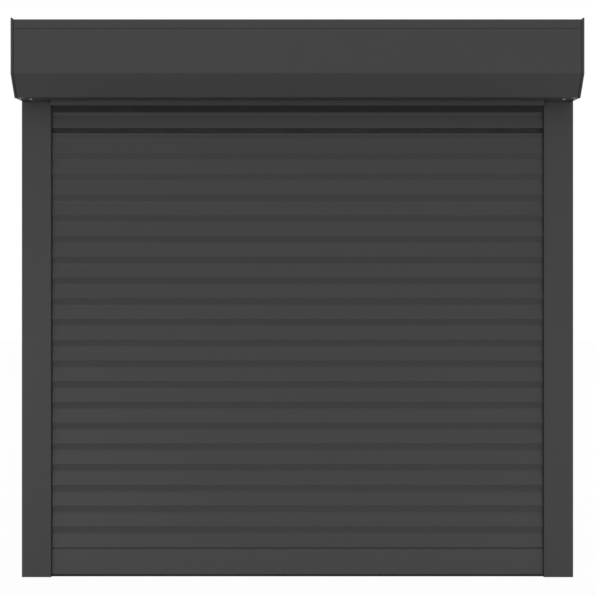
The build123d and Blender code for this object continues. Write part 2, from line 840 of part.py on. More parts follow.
def core(start, length, bore):
    """A block that fills the housing, from start towards the motor's head, with a bore for the shaft."""
    with BuildPart() as block:
        with BuildSketch(Plane.YZ.offset(start)):
            with Locations((0, axis_height)):
                Circle(motor_radius - motor_wall - motor_inner_gap)
        extrude(amount=length)
        with BuildSketch(Plane.YZ.offset(start)):
            with Locations((0, axis_height)):
                Circle(bore)
        extrude(amount=length / 2, mode=Mode.SUBTRACT)
    return block


# Gearbox and electric motor: in line inside the housing
gearbox_start = housing_end + motor_wall
gearbox = core(gearbox_start, gearbox_length, shaft_journal_radius + shaft_journal_gap)
keep(gearbox, "gearbox")
engine_start = gearbox_start + gearbox_length + engine_gap
electric_motor = core(engine_start, engine_length, shaft_journal_radius)
keep(electric_motor, "electric_motor")

# Output shaft: a round journal in the gearbox and a square end in the drive wheel
wheel_end = housing_end - wheel_distance
wheel_start = wheel_end - wheel_thickness
shaft_start = wheel_start - shaft_beyond_wheel
with BuildPart() as output_shaft:
    with BuildSketch(Plane.YZ.offset(wheel_end)):
        with Locations((0, axis_height)):
            Circle(shaft_journal_radius)
    extrude(amount=wheel_distance + motor_wall + gearbox_length / 2 - plain_gap)
    with BuildSketch(Plane.YZ.offset(shaft_start)):
        with Locations((0, axis_height)):
            Rectangle(shaft_square, shaft_square)
    extrude(amount=wheel_end - shaft_start)
keep(output_shaft, "output_shaft")

# Drive wheel: an octagonal rim, a hub on the shaft's square, and spokes between them
with BuildPart() as drive_wheel:
    with BuildSketch(Plane.YZ.offset(wheel_start)):
        octagon(insert_flats)
        with Locations((0, axis_height)):
            Circle(insert_flats / 2 - wheel_rim, mode=Mode.SUBTRACT)
            Circle(wheel_hub_radius)
            with PolarLocations(0, wheel_spoke_count):
                spoke = insert_flats / 2 - wheel_rim / 2
                Rectangle(spoke, wheel_spoke, align=(Align.MIN, Align.CENTER))
            Rectangle(shaft_square + 2 * shaft_gap, shaft_square + 2 * shaft_gap, mode=Mode.SUBTRACT)
    extrude(amount=wheel_thickness)
keep(drive_wheel, "drive_wheel")

# Crown: runs on the housing beside the head, and turns with the tube
with BuildPart() as motor_crown:
    with BuildSketch(Plane.YZ.offset(tube_right)):
        octagon(insert_flats)
    extrude(amount=-crown_width)
    with BuildSketch(Plane.YZ.offset(tube_right)):
        octagon(tube_flats + 2 * flange_overlap)
    extrude(amount=crown_flange)
    with BuildSketch(Plane.YZ.offset(tube_right - crown_width)):
        with Locations((0, axis_height)):
            Circle(motor_radius + crown_running_gap)
    extrude(amount=crown_width + crown_flange, mode=Mode.SUBTRACT)
keep(motor_crown, "motor_crown")

# Hanger clips: octagonal rings pushed over the tube
clip_ring_flats = tube_flats + 2 * hanger_clip_gap
with BuildPart() as hanger_clips:
    for x in hanger_positions:
        with BuildSketch(Plane.YZ.offset(x - hanger_width / 2)):
            octagon(clip_ring_flats + 2 * hanger_clip_wall)
            octagon(clip_ring_flats, mode=Mode.SUBTRACT)
        extrude(amount=hanger_width)
keep(hanger_clips, "hanger_clips")

# Slats: hollow aluminium profiles. Each one's hook hangs in the socket of the slat above it.
# The curtain winds up behind the tube, so the inside of the slats' curve faces out
neck_rear = slat_neck_setback + slat_neck
head_front = neck_rear - slat_head_width
slat_lip_reach = slat_neck_setback - slat_slot_gap
socket_rear = slat_depth - slat_side_wall
web_top = slat_socket_height + slat_wall
head_top = slat_pitch + slat_hook_height


def front_setback(height):
    """How far the slat's front lies behind its foremost line, at that height above its lower edge."""
    if height <= slat_bow_height:
        return slat_bow * height / slat_bow_height
    rest = (slat_pitch - height) / (slat_pitch - slat_bow_height)
    return slat_top_setback + (slat_bow - slat_top_setback) * rest


def hook_outline(height, lean_front, lean_rear):
    """The points of the hook on a profile of that height, from its front shoulder to its rear one."""
    neck = height + slat_neck_height
    head = height + slat_hook_height
    return [
        (lean_front, height),
        (slat_neck_setback, height),
        (slat_neck_setback, neck),
        (head_front, neck),
        (head_front, head),
        (neck_rear, head),
        (neck_rear, height),
        (slat_depth - lean_rear, height),
    ]


def curtain_plane(bottom):
    """A sketch plane at the slats' left ends. Its zero is the front lower corner of the profile."""
    return Plane(origin=(-slat_half, slat_front, bottom), x_dir=(0, 1, 0), z_dir=(1, 0, 0))


def curtain_slat(bottom):
    """One slat, with its lower edge at that height."""
    hook = hook_outline(slat_pitch, slat_top_setback, slat_rear_lean)
    rear_bend = slat_pitch - slat_rear_lean_height
    with BuildPart() as slat:
        with BuildSketch(curtain_plane(bottom)):
            with BuildLine():
                TangentArc((slat_lip_radius, 0), (0, slat_lip_radius), tangent=(-1, 0))
                face = ((0, slat_lip_radius), (slat_bow, slat_bow_height), hook[0])
                FilletPolyline(*face, radius=slat_bow_radius)
                Polyline(*hook, (slat_depth, rear_bend), (slat_depth, 0), (slat_lip_radius, 0))
            make_face()
            with Locations((slat_lip_reach, 0)):
                Rectangle(socket_rear - slat_lip_reach, slat_lip, align=Align.MIN, mode=Mode.SUBTRACT)
            with BuildLine():
                Polyline(
                    (front_setback(slat_lip) + slat_side_wall, slat_lip),
                    (front_setback(slat_socket_height) + slat_side_wall, slat_socket_height),
                    (socket_rear, slat_socket_height),
                    (socket_rear, slat_lip),
                    close=True,
                )
            make_face(mode=Mode.SUBTRACT)
            with BuildLine():
                inner_top = slat_pitch - slat_wall
                Polyline(
                    (front_setback(web_top) + slat_wall, web_top),
                    (slat_bow + slat_wall, slat_bow_height),
                    (front_setback(inner_top) + slat_wall, inner_top),
                    (slat_depth - slat_rear_lean - slat_wall, inner_top),
                    (slat_depth - slat_wall, rear_bend),
                    (slat_depth - slat_wall, web_top),
                    close=True,
                )
            make_face(mode=Mode.SUBTRACT)
        extrude(amount=2 * slat_half)
    return slat


# From the casing down: the slats that hang with their light slots open, then the closed ones
hanging_pitch = slat_pitch + slat_play
closed_height = rail_top - lowest_slat - hanging_slats * hanging_pitch
closed_slats = 1 + int(closed_height / slat_pitch)
top_closed = lowest_slat + (closed_slats - 1) * slat_pitch
slat_bottoms = [top_closed + i * hanging_pitch for i in range(hanging_slats, 0, -1)]
slat_bottoms += [top_closed - i * slat_pitch for i in range(closed_slats)]
for number, bottom in enumerate(slat_bottoms, start=1):
    keep(curtain_slat(bottom), f"slat_{number:02d}")

# Bottom bar: a hollow profile with a hook above and a slot for the seal below
bar_shoulder = bar_height + bar_top_gap
slot_neck = seal_neck_width + 2 * seal_slot_gap
slot_head = seal_head_width + 2 * seal_slot_gap
slot_height = seal_head_height + seal_slot_gap
bar_floor = bar_foot_gap + seal_slot_lip + slot_height + bar_floor_thickness
bar_hollow_width = slat_depth - 2 * bar_wall
bar_hollow_height = bar_height - bar_wall - bar_floor
with BuildPart() as bottom_bar:
    with BuildSketch(curtain_plane(0)):
        with Locations((0, bar_foot_gap)):
            body = Rectangle(slat_depth, bar_height - bar_foot_gap, align=Align.MIN)
        fillet(body.vertices().group_by(Axis.X)[0], radius=bar_edge_radius)
        with BuildLine():
            hook = hook_outline(bar_shoulder, bar_top_setback, 0)
            hook_root = bar_height - bar_wall
            Polyline((bar_top_setback, hook_root), *hook, (slat_depth, hook_root), close=True)
        make_face()
        with Locations((bar_wall, bar_floor)):
            Rectangle(bar_hollow_width, bar_hollow_height, align=Align.MIN, mode=Mode.SUBTRACT)
        with Locations((slat_depth / 2, bar_foot_gap)):
            Rectangle(slot_neck, seal_slot_lip, align=(Align.CENTER, Align.MIN), mode=Mode.SUBTRACT)
        with Locations((slat_depth / 2, bar_foot_gap + seal_slot_lip)):
            Rectangle(slot_head, slot_height, align=(Align.CENTER, Align.MIN), mode=Mode.SUBTRACT)
    extrude(amount=2 * slat_half)
keep(bottom_bar, "bottom_bar")

# Bottom bar seal: a rubber foot on the sill, held by its head in the bar's slot
with BuildPart() as bottom_bar_seal:
    with BuildSketch(curtain_plane(0)):
        with Locations((slat_depth / 2, 0)):
            foot = Rectangle(seal_foot_width, bar_foot_gap, align=(Align.CENTER, Align.MIN))
            fillet(foot.vertices().group_by(Axis.Y)[0], radius=seal_foot_radius)
            Rectangle(seal_neck_width, bar_foot_gap + seal_slot_lip, align=(Align.CENTER, Align.MIN))
        with Locations((slat_depth / 2, bar_foot_gap + seal_slot_lip)):
            Rectangle(seal_head_width, seal_head_height, align=(Align.CENTER, Align.MIN))
    extrude(amount=2 * slat_half)
keep(bottom_bar_seal, "bottom_bar_seal")

# Bottom bar end caps: a plate over each end and a plug in the hollow
with BuildPart() as bottom_bar_end_caps:
    for side in (-1, 1):
        with BuildSketch(Plane.YZ.offset(side * slat_half)):
            with Locations((slat_front, bar_foot_gap)):
                Rectangle(slat_depth, bar_height - bar_foot_gap, align=Align.MIN)
        extrude(amount=side * bar_cap_plate)
        with BuildSketch(Plane.YZ.offset(side * slat_half)):
            with Locations((slat_front + bar_wall + bar_cap_gap, bar_floor + bar_cap_gap)):
                plug_width = bar_hollow_width - 2 * bar_cap_gap
                plug_height = bar_hollow_height - 2 * bar_cap_gap
                Rectangle(plug_width, plug_height, align=Align.MIN)
        extrude(amount=-side * bar_cap_plug)
keep(bottom_bar_end_caps, "bottom_bar_end_caps")

# Hangers: spring-steel strips from the clips over the tube's rear to the top slat's hook
hanger_top = axis_height + clip_ring_flats / 2 + hanger_clip_wall + hanger_thickness
hanger_rear = slat_front + (head_front + neck_rear + hanger_thickness) / 2
hanger_low = slat_bottoms[0] + head_top + hanger_end_gap
with BuildPart() as curtain_hangers:
    for x in hanger_positions:
        with BuildSketch(Plane.YZ.offset(x - hanger_width / 2)):
            with BuildLine():
                FilletPolyline(
                    (-hanger_front_reach, hanger_top),
                    (hanger_rear_reach, hanger_top),
                    (hanger_rear, hanger_top - hanger_drop),
                    (hanger_rear, hanger_low),
                    radius=hanger_bend_radius,
                )
                offset(amount=hanger_thickness, side=Side.RIGHT)
            make_face()
        extrude(amount=hanger_width)
keep(curtain_hangers, "curtain_hangers")
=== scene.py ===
import math

import bpy
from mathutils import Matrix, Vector


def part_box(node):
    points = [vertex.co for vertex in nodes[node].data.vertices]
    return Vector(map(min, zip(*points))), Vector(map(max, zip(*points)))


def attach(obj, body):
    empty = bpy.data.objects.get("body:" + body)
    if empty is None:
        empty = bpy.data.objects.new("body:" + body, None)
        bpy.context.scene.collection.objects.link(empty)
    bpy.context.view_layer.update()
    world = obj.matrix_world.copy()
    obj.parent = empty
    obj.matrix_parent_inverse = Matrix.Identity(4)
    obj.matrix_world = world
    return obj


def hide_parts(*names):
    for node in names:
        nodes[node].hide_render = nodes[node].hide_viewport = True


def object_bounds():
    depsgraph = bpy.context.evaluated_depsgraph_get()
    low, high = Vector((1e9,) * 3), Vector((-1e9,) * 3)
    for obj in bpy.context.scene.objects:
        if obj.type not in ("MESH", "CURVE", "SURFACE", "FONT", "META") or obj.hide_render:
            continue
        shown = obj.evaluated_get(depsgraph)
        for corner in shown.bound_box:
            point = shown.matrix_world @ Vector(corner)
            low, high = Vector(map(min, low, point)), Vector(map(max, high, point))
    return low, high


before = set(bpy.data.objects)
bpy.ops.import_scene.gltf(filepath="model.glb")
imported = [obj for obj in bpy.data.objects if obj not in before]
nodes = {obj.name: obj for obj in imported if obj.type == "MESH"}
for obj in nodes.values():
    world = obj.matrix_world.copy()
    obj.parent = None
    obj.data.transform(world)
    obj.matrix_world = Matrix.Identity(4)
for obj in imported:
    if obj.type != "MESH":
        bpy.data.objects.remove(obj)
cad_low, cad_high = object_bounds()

# Camera: level and far away, as for a catalogue picture, so that all upright edges stay upright.
# It stands a little above the middle of the shutter, and its back is shifted to frame it.
camera_distance = 2.87
camera_height = 0.6367
camera_data = bpy.data.cameras.new("front_camera")
camera_data.lens = 97.3
camera_data.shift_y = -0.12
camera = bpy.data.objects.new("front_camera", camera_data)
camera.location = (0.0, -camera_distance, camera_height)
camera.rotation_euler = (math.radians(90.0), 0.0, 0.0)
bpy.context.scene.collection.objects.link(camera)
bpy.context.scene.camera = camera
bpy.context.scene.view_settings.view_transform = "Standard"

# Room: a white surround and a pale floor under the sill, both plain. The camera and mirrors see them
# white, and the light that they give to the shutter comes mostly from its front.


class Field:
    """A number or colour that changes over a surface. Python's operators work on numbers."""

    def __init__(self, finish, socket):
        self.finish = finish
        self.socket = socket

    def maths(self, operation, first, second):
        return self.finish.node("ShaderNodeMath", {"operation": operation}, {0: first, 1: second})

    def __add__(self, other):
        return self.maths("ADD", self, other)

    def __radd__(self, other):
        return self.maths("ADD", other, self)

    def __sub__(self, other):
        return self.maths("SUBTRACT", self, other)

    def __rsub__(self, other):
        return self.maths("SUBTRACT", other, self)

    def __mul__(self, other):
        return self.maths("MULTIPLY", self, other)

    def __rmul__(self, other):
        return self.maths("MULTIPLY", other, self)


class Finish:
    """The nodes of one finish, or of the world."""

    def __init__(self, owner):
        owner.use_nodes = True
        owner.node_tree.nodes.clear()
        self.tree = owner.node_tree

    def node(self, kind, settings={}, inputs={}, output=0):
        """One node: its settings, then the values or links of its sockets. Returns an output."""
        made = self.tree.nodes.new(kind)
        for name, value in settings.items():
            setattr(made, name, value)
        for name, value in inputs.items():
            if isinstance(value, Field):
                self.tree.links.new(value.socket, made.inputs[name])
            else:
                made.inputs[name].default_value = value
        return Field(self, made.outputs[output]) if made.outputs else None


def seen_directly(finish):
    """One where the camera, a mirror or a pane sees the surface, and zero where it only gives light."""
    path = [finish.node("ShaderNodeLightPath", output=kind) for kind in (
        "Is Camera Ray", "Is Glossy Ray", "Is Transmission Ray")]
    return path[0] + path[1] + path[2]


light_all_round = 0.52
light_from_front = 1.0
pure_white = (1.0, 1.0, 1.0, 1.0)
floor_grey = (0.88, 0.88, 0.88, 1.0)
floor_glow_share = 0.96
world = bpy.data.worlds.new("white_surround")
bpy.context.scene.world = world
surround = Finish(world)
direction = surround.node("ShaderNodeTexCoord", output="Generated")
depth = surround.node("ShaderNodeSeparateXYZ", inputs={0: direction}, output="Y")
frontal = surround.node("ShaderNodeMath", {"operation": "MAXIMUM"}, {0: depth * -1.0, 1: 0.0})
given = frontal * frontal * light_from_front + light_all_round
studio = surround.node("ShaderNodeBackground", inputs={"Color": pure_white, "Strength": given})
white = surround.node("ShaderNodeBackground", inputs={"Color": pure_white, "Strength": 1.0})
walls = surround.node("ShaderNodeMixShader", inputs={0: seen_directly(surround), 1: studio, 2: white})
surround.node("ShaderNodeOutputWorld", inputs={"Surface": walls})

floor_half = 6.0
bpy.ops.object.select_all(action="DESELECT")
bpy.ops.mesh.primitive_grid_add(x_subdivisions=4, y_subdivisions=4, size=2 * floor_half)
floor = bpy.context.object
floor.name = "floor"
pale = bpy.data.materials.new("pale_floor")
ground = Finish(pale)
grey = ground.node("ShaderNodeBsdfDiffuse", inputs={"Color": floor_grey})
paper = ground.node("ShaderNodeBsdfDiffuse", inputs={"Color": pure_white})
glow = ground.node("ShaderNodeEmission", inputs={"Strength": 1.0})
shown = ground.node("ShaderNodeMixShader", inputs={0: floor_glow_share, 1: paper, 2: glow})
floor_shader = ground.node("ShaderNodeMixShader", inputs={0: seen_directly(ground), 1: grey, 2: shown})
ground.node("ShaderNodeOutputMaterial", inputs={"Surface": floor_shader})
pale.cycles.emission_sampling = "NONE"
floor.data.materials.append(pale)


def softbox(name, place, aim, width, height, strength):
    """A soft lamp at a place, turned towards the point that it lights."""
    data = bpy.data.lights.new(name, "AREA")
    data.shape = "RECTANGLE"
    data.size = width
    data.size_y = height
    data.energy = strength
    lamp = bpy.data.objects.new(name, data)
    lamp.location = place
    lamp.rotation_euler = (Vector(aim) - Vector(place)).to_track_quat("-Z", "Y").to_euler()
    bpy.context.scene.collection.objects.link(lamp)


softbox("low_left_softbox", (-1.5, -2.6, 0.2), (0.0, 0.0, 0.2), 1.8, 0.5, 9.0)
softbox("low_right_softbox", (1.5, -2.6, 0.2), (0.0, 0.0, 0.2), 1.8, 0.5, 5.0)
softbox("rear_softbox", (2.4, 3.2, 1.9), (0.0, 0.0, 0.6), 1.4, 1.4, 14.0)
softbox("high_softbox", (0.0, -3.2, 1.6), (0.0, 0.0, 0.6), 1.8, 0.8, 1.2)

# End plates, top cover and rear panel: two die-cast plates, and aluminium sheets bent to fit between
# their rims. All of it is powder coated in one dark grey. The plates get a paler copy, as painted light.
mm = 0.001
casing_grey = (0.0425, 0.0425, 0.0425)


def mixed(finish, share, first, second):
    """A colour between two others, at a share that can change over the surface."""
    ends = [shade if isinstance(shade, Field) else (*shade, 1.0) for shade in (first, second)]
    return finish.node("ShaderNodeMix", {"data_type": "RGBA"}, {0: share, 6: ends[0], 7: ends[1]}, 2)


def shaded(colour, share):
    """The same colour, paler or darker."""
    return tuple(share * part for part in colour)


def noise(finish, place, scale, detail=2.0):
    """Cloudy noise round one half, with so many lumps to the metre."""
    return finish.node("ShaderNodeTexNoise", inputs={"Vector": place, "Scale": scale, "Detail": detail})


def stretched(finish, place, shares):
    """A surface's coordinates, shrunk by a share along each axis, so that what they place grows longer."""
    return finish.node("ShaderNodeMapping", inputs={"Vector": place, "Scale": shares})


def step(finish, value, start, end):
    """Zero before the start, one after the end, and smooth between them."""
    return finish.node(
        "ShaderNodeMapRange", {"interpolation_type": "SMOOTHSTEP"}, {0: value, 1: start, 2: end})


def shader(finish, **inputs):
    """Ends a finish with its shader. An underscore in a name stands for a blank."""
    named = {name.replace("_", " "): value for name, value in inputs.items()}
    principled = finish.node("ShaderNodeBsdfPrincipled", inputs=named)
    finish.node("ShaderNodeOutputMaterial", inputs={"Surface": principled})


def bumps(finish, height, depth):
    """The slopes of a relief between zero and one, at that depth in metres."""
    return finish.node("ShaderNodeBump", inputs={"Height": height, "Distance": depth})


def coat(
        name, colour, roughness, drawn=(1.0, 1.0, 1.0), line_share=0.0, underside_shade=0.88,
        shaded_depths=None, shadow_heights=None, paler_below=None):
    """Baked paint: faint clouds, fine flecks and an orange peel, over the die's lines if it has any.
    Faces that overhang are painted darker than the rest, as painted shade, and ledges are paler, as dust
    and painted highlight. Where they are given, painted shade lies between two depths, painted shadow
    before a height, and the paint is paler below a height, as painted light."""
    underside_spread, open_face_spread = 0.12, 0.13
    dust_and_highlight_tone, sill_light_tone, recess_shade_tone, shadow_tone = 1.6, 1.4, 0.3, 0.45
    shade_fade_in, shade_fade_out, relief_depth = 1.2 * mm, 0.4 * mm, 0.03 * mm
    material = bpy.data.materials.new(name)
    finish = Finish(material)
    place = finish.node("ShaderNodeTexCoord", output="Object")
    height = finish.node("ShaderNodeSeparateXYZ", inputs={0: place}, output="Z")
    clouds = noise(finish, stretched(finish, place, drawn), 8.0, 4.0)
    flecks = noise(finish, place, 1500.0, 1.0)
    peel = noise(finish, place, 650.0)
    lines = noise(finish, stretched(finish, place, drawn), 900.0, 3.0)
    normal = finish.node("ShaderNodeNewGeometry", output="Normal")
    leaning = finish.node("ShaderNodeSeparateXYZ", inputs={0: normal}, output="Z")
    # Faces that overhang take the darker colour: painted shade, as if less light reaches them.
    open_face = step(finish, leaning, -0.2, 0.0)
    # Up-facing faces are painted paler: partly dust, partly a painted highlight of light from above.
    dust_and_highlight = step(finish, leaning, 0.2, 0.9) * (clouds * 0.6 + 0.4)
    share = clouds * 0.3 + flecks * 0.2 + lines * (0.4 * line_share) + (0.25 - 0.2 * line_share)
    painted = mixed(
        finish, share, shaded(colour, underside_shade - underside_spread), shaded(colour, underside_shade + underside_spread))
    open_face_colour = mixed(finish, share, shaded(colour, 1.0 - open_face_spread), shaded(colour, 1.0 + open_face_spread))
    shown = mixed(finish, open_face, painted, open_face_colour)
    shown = mixed(finish, dust_and_highlight, shown, shaded(colour, dust_and_highlight_tone))
    rough = clouds * 0.08 + peel * 0.06 + open_face * 0.03 + dust_and_highlight * 0.15 + (roughness - 0.1)
    # Below a height the colour is painted paler: painted light towards the sill.
    if paler_below:
        sill_light = (1.0 - step(finish, height, 0.0, paler_below)) * (clouds * 0.3 + 0.85)
        shown = mixed(finish, sill_light * 0.35, shown, shaded(colour, sill_light_tone))
    # Between two depths the colour is painted much darker: painted shade in the recess of the joints.
    if shaded_depths:
        reach = finish.node("ShaderNodeSeparateXYZ", inputs={0: place}, output="Y")
        recess_shade = step(finish, reach, shaded_depths[0], shaded_depths[0] + shade_fade_in) - step(
            finish, reach, shaded_depths[1], shaded_depths[1] + shade_fade_out)
        recess_shade = recess_shade * (noise(finish, place, 60.0, 4.0) * 0.5 + 0.55)
        shown = mixed(finish, recess_shade, shown, shaded(colour, recess_shade_tone))
        rough = rough + recess_shade * 0.3
    # Before a height the colour is painted darker: a painted shadow where one part shades another.
    if shadow_heights:
        painted_shadow = 1.0 - step(finish, height, shadow_heights[0], shadow_heights[1])
        shown = mixed(finish, painted_shadow, shown, shaded(colour, shadow_tone))
        rough = rough + painted_shadow * 0.3
    relief = peel * (1.0 - line_share) + lines * line_share
    shader(
        finish, Base_Color=shown, Roughness=rough, Specular_IOR_Level=0.2,
        Normal=bumps(finish, relief, relief_depth))
    return material


def dress(material, *pieces):
    """Puts a finish on CAD solids, by name, and on pieces of this script."""
    for piece in pieces:
        target = nodes[piece] if isinstance(piece, str) else piece
        target.data.materials.clear()
        target.data.materials.append(material)


coat_roughness = 0.38
plate_light_share = 1.25
casing_coat = coat("casing_powder_coat", casing_grey, coat_roughness)
dress(casing_coat, "top_cover", "rear_panel")
plate_coat = coat("end_plate_coat", shaded(casing_grey, plate_light_share), coat_roughness)
dress(plate_coat, "left_end_plate", "right_end_plate")

# Panel rivets: blind rivets of painted aluminium, two through the top and two through the rear at
# each end. Each has a low dome, with the hole in it that the broken-off mandrel leaves.
rivet_head_radius = 3.2 * mm
rivet_head_height = 1.0 * mm
rivet_dome = 0.7 * mm
rivet_shank_radius = 1.6 * mm
rivet_grip = 3.4 * mm
mandrel_radius = 0.9 * mm
mandrel_depth = 0.5 * mm


def only(piece):
    """Ends any editing, and makes a piece the only selected one, and the active one."""
    if bpy.context.mode != "OBJECT":
        bpy.ops.object.mode_set(mode="OBJECT")
    bpy.ops.object.select_all(action="DESELECT")
    piece.select_set(True)
    bpy.context.view_layer.objects.active = piece


def settled(piece):
    """Moves a piece's place and turn into its mesh, so that its object stands at the origin."""
    only(piece)
    bpy.ops.object.transform_apply(location=True, rotation=True, scale=True)
    return piece


def cylinder(name, radius, low, high, sides=32):
    """An upright cylinder on the origin's axis, from one height to another."""
    bpy.ops.object.select_all(action="DESELECT")
    bpy.ops.mesh.primitive_cylinder_add(
        vertices=sides, radius=radius, depth=high - low, location=(0.0, 0.0, (low + high) / 2))
    piece = bpy.context.object
    piece.name = name
    return settled(piece)


def chosen_faces(piece, test):
    """Opens a piece for editing, with those faces selected whose normal passes a test."""
    only(piece)
    bpy.ops.object.mode_set(mode="EDIT")
    bpy.ops.mesh.select_mode(type="FACE")
    bpy.ops.mesh.select_all(action="DESELECT")
    bpy.ops.object.mode_set(mode="OBJECT")
    for face in piece.data.polygons:
        face.select = test(face.normal.z)
    bpy.ops.object.mode_set(mode="EDIT")


def raised(distance):
    """Extrudes the selected faces upwards, or downwards where the distance is negative."""
    bpy.ops.mesh.extrude_region_move(TRANSFORM_OT_translate={"value": (0.0, 0.0, distance)})


def rounded(piece, smooth_below=35.0):
    """Ends the editing, and shades as round what bends less than that angle."""
    only(piece)
    bpy.ops.object.shade_smooth_by_angle(angle=math.radians(smooth_below))


def placed_copy(pattern, name, place, turn=(0.0, 0.0, 0.0)):
    """A copy of a piece with a mesh of its own, turned and then moved to its place."""
    only(pattern)
    bpy.ops.object.duplicate()
    piece = bpy.context.object
    piece.name = name
    piece.location = place
    piece.rotation_euler = turn
    return settled(piece)


def join_frame(piece, material, body, node):
    """Gives a piece its finish, the body that it moves with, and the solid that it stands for."""
    dress(material, piece)
    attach(piece, body)
    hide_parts(node)


pattern_rivet = cylinder("pattern_rivet", rivet_head_radius, 0.0, rivet_head_height)
chosen_faces(pattern_rivet, lambda up: up > 0.99)
bpy.ops.mesh.bevel(offset=rivet_dome, segments=4, affect="EDGES")
chosen_faces(pattern_rivet, lambda up: up > 0.99)
bpy.ops.mesh.inset(thickness=rivet_head_radius - rivet_dome - mandrel_radius)
raised(-mandrel_depth)
chosen_faces(pattern_rivet, lambda up: up < -0.99)
bpy.ops.mesh.inset(thickness=rivet_head_radius - rivet_shank_radius)
raised(-rivet_grip)
rounded(pattern_rivet)
rivets_low, rivets_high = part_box("panel_rivets")
rivet_x = rivets_high[0] - rivet_head_radius
rivet_front = rivets_low[1] + rivet_head_radius
rivet_low = rivets_low[2] + rivet_head_radius
roof = rivets_high[2] - rivet_head_height
back = rivets_high[1] - rivet_head_height
for side, x in (("left", -rivet_x), ("right", rivet_x)):
    for number in range(2):
        gap = -2 * rivet_front * number
        top_rivet = placed_copy(
            pattern_rivet, f"{side}_top_rivet_{number + 1}", (x, rivet_front + gap, roof))
        rear_rivet = placed_copy(
            pattern_rivet, f"{side}_rear_rivet_{number + 1}", (x, back, rivet_low + gap),
            (math.radians(-90.0), 0.0, 0.0))
        for rivet in (top_rivet, rear_rivet):
            join_frame(rivet, casing_coat, "casing_and_rails", "panel_rivets")
bpy.data.objects.remove(pattern_rivet)

# Brackets: plates of zinc-plated steel, screwed to the bosses of the end plates. The left one has a
# cup for the bearing, and the right one a square hole for the motor's head.


def plated_steel(name, colour, roughness, spangle=0.0):
    """Zinc on steel: a grey metal with clouds and hair scratches, and with crystals where hot-dipped."""
    material = bpy.data.materials.new(name)
    finish = Finish(material)
    place = finish.node("ShaderNodeTexCoord", output="Object")
    clouds = noise(finish, place, 40.0, 5.0)
    scratches = noise(finish, stretched(finish, place, (0.06, 1.0, 1.0)), 1200.0)
    crystals = finish.node("ShaderNodeTexVoronoi", inputs={"Vector": place, "Scale": 130.0}, output=1)
    grain = finish.node("ShaderNodeSeparateColor", inputs={0: crystals})
    share = clouds * (0.7 - spangle) + grain * spangle + 0.15
    shader(
        finish, Metallic=1.0, Base_Color=mixed(finish, share, shaded(colour, 0.72), shaded(colour, 1.2)),
        Roughness=clouds * 0.2 + grain * (0.3 * spangle) + scratches * 0.1 + (roughness - 0.15),
        Normal=bumps(finish, scratches * 0.5 + clouds * 0.5, 0.02 * mm))
    return material


zinc_plate = plated_steel("zinc_plated_steel", (0.52, 0.53, 0.54), 0.38)
dress(zinc_plate, "bearing_bracket", "motor_bracket")

# Bracket screws: eight pan-head screws of the same steel with cross recesses, four through each
# bracket into the bosses of its end plate.
bracket_head_radius = 4.2 * mm
bracket_head_height = 2.4 * mm
bracket_shank_radius = 2.4 * mm


def cross_head_screw(name, radius, height, shank_radius, shank_length):
    """A screw that points up, its domed head under the origin with a cross recess in it."""
    screw = cylinder(name, radius, -height, 0.0, 40)
    chosen_faces(screw, lambda up: up < -0.99)
    bpy.ops.mesh.bevel(offset=height / 2, segments=5, affect="EDGES")
    chosen_faces(screw, lambda up: up > 0.99)
    bpy.ops.mesh.inset(thickness=radius - shank_radius)
    raised(shank_length)
    rounded(screw)
    for turn in (0.0, 90.0):
        bpy.ops.object.select_all(action="DESELECT")
        bpy.ops.mesh.primitive_cube_add(size=1.0, location=(0.0, 0.0, -height))
        blade = bpy.context.object
        blade.scale = (1.1 * radius, 0.28 * radius, 1.2 * height)
        blade.rotation_euler = (0.0, 0.0, math.radians(turn))
        settled(blade)
        only(screw)
        recess = screw.modifiers.new("recess", "BOOLEAN")
        recess.operation = "DIFFERENCE"
        recess.solver = "EXACT"
        recess.object = blade
        bpy.ops.object.modifier_apply(modifier=recess.name)
        bpy.data.objects.remove(blade)
    rounded(screw)
    return screw


bracket_low, bracket_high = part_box("bracket_screws")
head_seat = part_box("motor_bracket")[0][0]
pattern_screw = cross_head_screw(
    "pattern_screw", bracket_head_radius, bracket_head_height,
    bracket_shank_radius, bracket_high[0] - head_seat)
screw_depths = (bracket_low[1] + bracket_head_radius, bracket_high[1] - bracket_head_radius)
screw_heights = (bracket_low[2] + bracket_head_radius, bracket_high[2] - bracket_head_radius)
for side, sign in (("left", -1), ("right", 1)):
    number = 0
    for y in screw_depths:
        for z in screw_heights:
            number += 1
            screw = placed_copy(
                pattern_screw, f"{side}_bracket_screw_{number}", (sign * head_seat, y, z),
                (0.0, math.radians(sign * 90.0), 0.0))
            join_frame(screw, zinc_plate, "casing_and_rails", "bracket_screws")
bpy.data.objects.remove(pattern_screw)

# Bearing: a ball bearing of plain steel, pressed into the left bracket's cup. A pin turns in it, and
# a plastic capsule pushed into the tube holds the pin.


def turned_steel(name, colour, roughness, ring_depth=0.012):
    """Steel from the lathe: fine rings round the shutter's long axis, and a thin film of oil."""
    material = bpy.data.materials.new(name)
    finish = Finish(material)
    place = finish.node("ShaderNodeTexCoord", output="Object")
    oil = noise(finish, place, 120.0, 3.0)
    rings = noise(finish, stretched(finish, place, (1.0, 0.03, 0.03)), 2500.0)
    shader(
        finish, Metallic=1.0, Base_Color=mixed(finish, oil, shaded(colour, 0.8), shaded(colour, 1.12)),
        Roughness=oil * 0.16 + rings * 0.1 + (roughness - 0.13),
        Normal=bumps(finish, rings, ring_depth * mm))
    return material


